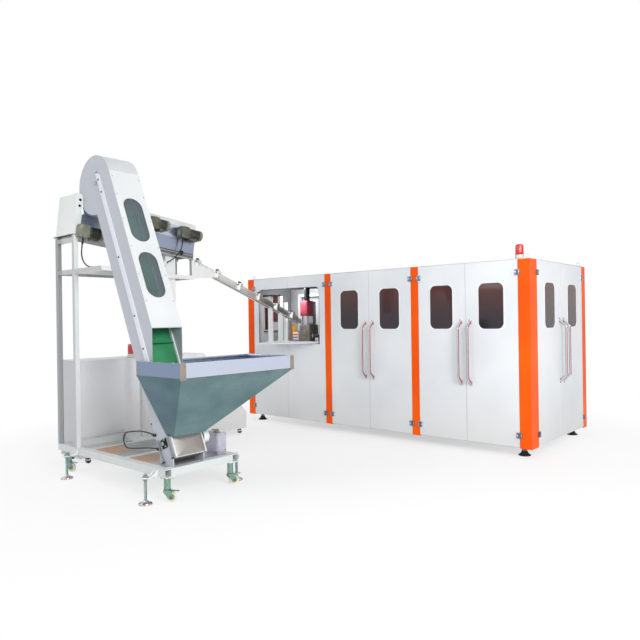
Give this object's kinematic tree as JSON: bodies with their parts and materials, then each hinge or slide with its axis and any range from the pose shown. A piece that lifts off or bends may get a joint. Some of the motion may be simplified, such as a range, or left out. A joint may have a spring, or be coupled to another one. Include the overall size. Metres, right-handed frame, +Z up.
{
  "type": "blow moulding machine",
  "caption": "Guarded linear bottle blow moulding machine with hinged doors and tinted windows, fed by a leaning belt elevator, hopper, roller sorter and sloping chute.",
  "frame": {"origin": "On the floor, under the centre of the enclosure's front right levelling foot.", "axes": "+X runs to the right along the enclosure's front, +Y to the back, +Z up. The loader stands in front of the enclosure's left part."},
  "size_m": [4.181, 4.9588, 2.9315],
  "materials": {
    "white_paint": "satin",
    "orange_paint": "satin",
    "grey_paint": "satin",
    "steel": "brushed",
    "zinc": "zinc",
    "aluminium": "machined",
    "black_rubber": "matte",
    "tinted_acrylic": "gloss",
    "beige_plastic": "matte",
    "red_plastic": "gloss",
    "green_belt": "matte",
    "cream_plastic": "satin"
  },
  "bodies": {
    "machine": {"machine_base": "white_paint", "machine_feet": "black_rubber", "frame_posts": "orange_paint", "top_rails": "white_paint", "fixed_panels": "white_paint", "door_hinges": "zinc", "beacon_bases": "beige_plastic", "beacon_domes": "red_plastic", "machine_bed": "grey_paint", "clamp_frame": "steel", "oven": "steel", "infeed_shelf": "white_paint", "infeed_drive": "grey_paint", "chute_rails": "steel", "loader_base": "white_paint", "loader_feet": "zinc", "tower_frame": "white_paint", "elevator_casing": "white_paint", "elevator_cover": "white_paint", "elevator_belt": "green_belt", "hopper": "steel", "sorter_hood": "white_paint", "sorter_trough": "steel", "geared_motors": "aluminium", "junction_box": "grey_paint", "control_cabinet": "white_paint", "fixed_panes": "tinted_acrylic", "near_motor_cord": "black_rubber", "far_motor_cord": "black_rubber", "tail_cord": "black_rubber"},
    "feed_left_door": {"door_feed_left": "white_paint"},
    "feed_right_door": {"door_feed_right": "white_paint"},
    "middle_left_door": {"door_middle_left": "white_paint", "window_middle_left": "tinted_acrylic"},
    "middle_right_door": {"door_middle_right": "white_paint", "window_middle_right": "tinted_acrylic"},
    "blow_left_door": {"door_blow_left": "white_paint", "window_blow_left": "tinted_acrylic"},
    "blow_right_door": {"door_blow_right": "white_paint", "window_blow_right": "tinted_acrylic"},
    "end_front_door": {"door_end_front": "white_paint", "window_end_front": "tinted_acrylic"},
    "end_back_door": {"door_end_back": "white_paint", "window_end_back": "tinted_acrylic"},
    "near_right_swivel": {"caster_fork_near_right": "zinc"},
    "near_right_wheel": {"caster_wheel_near_right": "cream_plastic"},
    "near_left_swivel": {"caster_fork_near_left": "zinc"},
    "near_left_wheel": {"caster_wheel_near_left": "cream_plastic"},
    "far_right_swivel": {"caster_fork_far_right": "zinc"},
    "far_right_wheel": {"caster_wheel_far_right": "cream_plastic"},
    "far_left_swivel": {"caster_fork_far_left": "zinc"},
    "far_left_wheel": {"caster_wheel_far_left": "cream_plastic"},
    "head_drum_body": {"head_drum": "steel"},
    "tail_drum_body": {"tail_drum": "steel"},
    "left_roller_body": {"left_roller": "steel"},
    "right_roller_body": {"right_roller": "steel"},
    "kick_wheel_body": {"kick_wheel": "black_rubber"},
    "front_platen_body": {"front_platen": "aluminium"},
    "back_platen_body": {"back_platen": "aluminium"},
    "stretch_body": {"stretch_carriage": "aluminium"}
  },
  "joints": [
    {"name": "feed_left_swing", "type": "hinge", "parent": "machine", "child": "feed_left_door", "pos_m": [-3.846, -0.14, 1], "axis": [0, 0, -1], "range_deg": [0, 85]},
    {"name": "feed_right_swing", "type": "hinge", "parent": "machine", "child": "feed_right_door", "pos_m": [-2.537, -0.14, 1], "axis": [0, 0, 1], "range_deg": [0, 85]},
    {"name": "middle_left_swing", "type": "hinge", "parent": "machine", "child": "middle_left_door", "pos_m": [-2.434, -0.14, 1], "axis": [0, 0, -1], "range_deg": [0, 85]},
    {"name": "middle_right_swing", "type": "hinge", "parent": "machine", "child": "middle_right_door", "pos_m": [-1.252, -0.14, 1], "axis": [0, 0, 1], "range_deg": [0, 85]},
    {"name": "blow_left_swing", "type": "hinge", "parent": "machine", "child": "blow_left_door", "pos_m": [-1.149, -0.14, 1], "axis": [0, 0, -1], "range_deg": [0, 85]},
    {"name": "blow_right_swing", "type": "hinge", "parent": "machine", "child": "blow_right_door", "pos_m": [0.006, -0.14, 1], "axis": [0, 0, 1], "range_deg": [0, 85]},
    {"name": "end_front_swing", "type": "hinge", "parent": "machine", "child": "end_front_door", "pos_m": [0.14, 0.057, 1], "axis": [0, 0, -1], "range_deg": [0, 85]},
    {"name": "end_back_swing", "type": "hinge", "parent": "machine", "child": "end_back_door", "pos_m": [0.14, 1.407, 1], "axis": [0, 0, 1], "range_deg": [0, 85]},
    {"name": "near_right_swivel_turn", "type": "hinge", "parent": "machine", "child": "near_right_swivel", "pos_m": [-1.536, -3.23, 0.15], "axis": [0, 0, 1], "continuous": true},
    {"name": "near_right_wheel_roll", "type": "hinge", "parent": "near_right_swivel", "child": "near_right_wheel", "pos_m": [-1.51109, -3.20835, 0.04], "axis": [-0.6561, 0.7547, 0], "continuous": true},
    {"name": "near_left_swivel_turn", "type": "hinge", "parent": "machine", "child": "near_left_swivel", "pos_m": [-3.11914, -3.23, 0.15], "axis": [0, 0, 1], "continuous": true},
    {"name": "near_left_wheel_roll", "type": "hinge", "parent": "near_left_swivel", "child": "near_left_wheel", "pos_m": [-3.08813, -3.21871, 0.04], "axis": [-0.342, 0.9397, 0], "continuous": true},
    {"name": "far_right_swivel_turn", "type": "hinge", "parent": "machine", "child": "far_right_swivel", "pos_m": [-1.536, -2.587, 0.15], "axis": [0, 0, 1], "continuous": true},
    {"name": "far_right_wheel_roll", "type": "hinge", "parent": "far_right_swivel", "child": "far_right_wheel", "pos_m": [-1.52746, -2.55512, 0.04], "axis": [-0.9659, 0.2588, 0], "continuous": true},
    {"name": "far_left_swivel_turn", "type": "hinge", "parent": "machine", "child": "far_left_swivel", "pos_m": [-3.11914, -2.587, 0.15], "axis": [0, 0, 1], "continuous": true},
    {"name": "far_left_wheel_roll", "type": "hinge", "parent": "far_left_swivel", "child": "far_left_wheel", "pos_m": [-3.09792, -2.56172, 0.04], "axis": [-0.766, 0.6428, 0], "continuous": true},
    {"name": "head_drum_turn", "type": "hinge", "parent": "machine", "child": "head_drum_body", "pos_m": [-2.63195, -3.036, 2.67486], "axis": [0, 1, 0], "continuous": true},
    {"name": "tail_drum_turn", "type": "hinge", "parent": "machine", "child": "tail_drum_body", "pos_m": [-1.62723, -3.036, 0.43925], "axis": [0, 1, 0], "continuous": true},
    {"name": "left_roller_turn", "type": "hinge", "parent": "machine", "child": "left_roller_body", "pos_m": [-3.08714, -2.58303, 2.22856], "axis": [0, 0.9932, -0.1167], "continuous": true},
    {"name": "right_roller_turn", "type": "hinge", "parent": "machine", "child": "right_roller_body", "pos_m": [-2.98514, -2.58303, 2.22856], "axis": [0, 0.9932, -0.1167], "continuous": true},
    {"name": "kick_wheel_turn", "type": "hinge", "parent": "machine", "child": "kick_wheel_body", "pos_m": [-3.03614, -2.09477, 2.35647], "axis": [1, 0, 0], "continuous": true},
    {"name": "front_platen_slide", "type": "slide", "parent": "machine", "child": "front_platen_body", "axis": [0, 1, 0], "range_m": [0, 0.0597]},
    {"name": "back_platen_slide", "type": "slide", "parent": "machine", "child": "back_platen_body", "axis": [0, -1, 0], "range_m": [0, 0.0597]},
    {"name": "stretch_slide", "type": "slide", "parent": "machine", "child": "stretch_body", "axis": [0, 0, -1], "range_m": [0, 0.18]}
  ],
  "couplings": [
    {"joint": "tail_drum_turn", "follows": "head_drum_turn", "ratio": 1},
    {"joint": "right_roller_turn", "follows": "left_roller_turn", "ratio": -1},
    {"joint": "back_platen_slide", "follows": "front_platen_slide", "ratio": 1}
  ]
}
